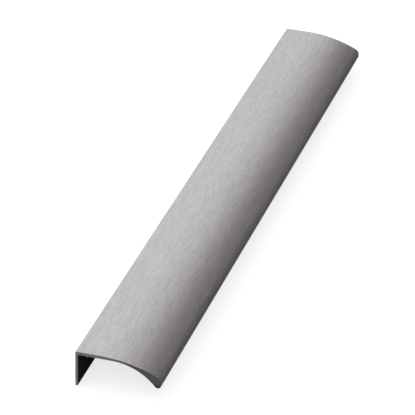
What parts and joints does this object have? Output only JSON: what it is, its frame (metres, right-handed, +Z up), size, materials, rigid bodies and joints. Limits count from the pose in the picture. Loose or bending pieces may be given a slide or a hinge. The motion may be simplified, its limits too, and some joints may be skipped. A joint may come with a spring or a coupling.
{
  "type": "handleless finger pull profile",
  "caption": "Extruded aluminium finger pull profile: thin plate over a drawer front's top edge, back flange with screw holes, curved lip to pull at.",
  "frame": {"origin": "centre of the bounding box in X and Y, at the height of the flange's foot", "axes": "+X along the extrusion, +Y from the lip to the back flange, +Z up, square to the flat plate"},
  "size_m": [0.35, 0.041, 0.018],
  "materials": {
    "brushed_aluminium": "brushed lengthwise on top, dark satin anodised elsewhere"
  },
  "bodies": {
    "root": {"finger_pull_profile": "brushed_aluminium"}
  },
  "joints": []
}
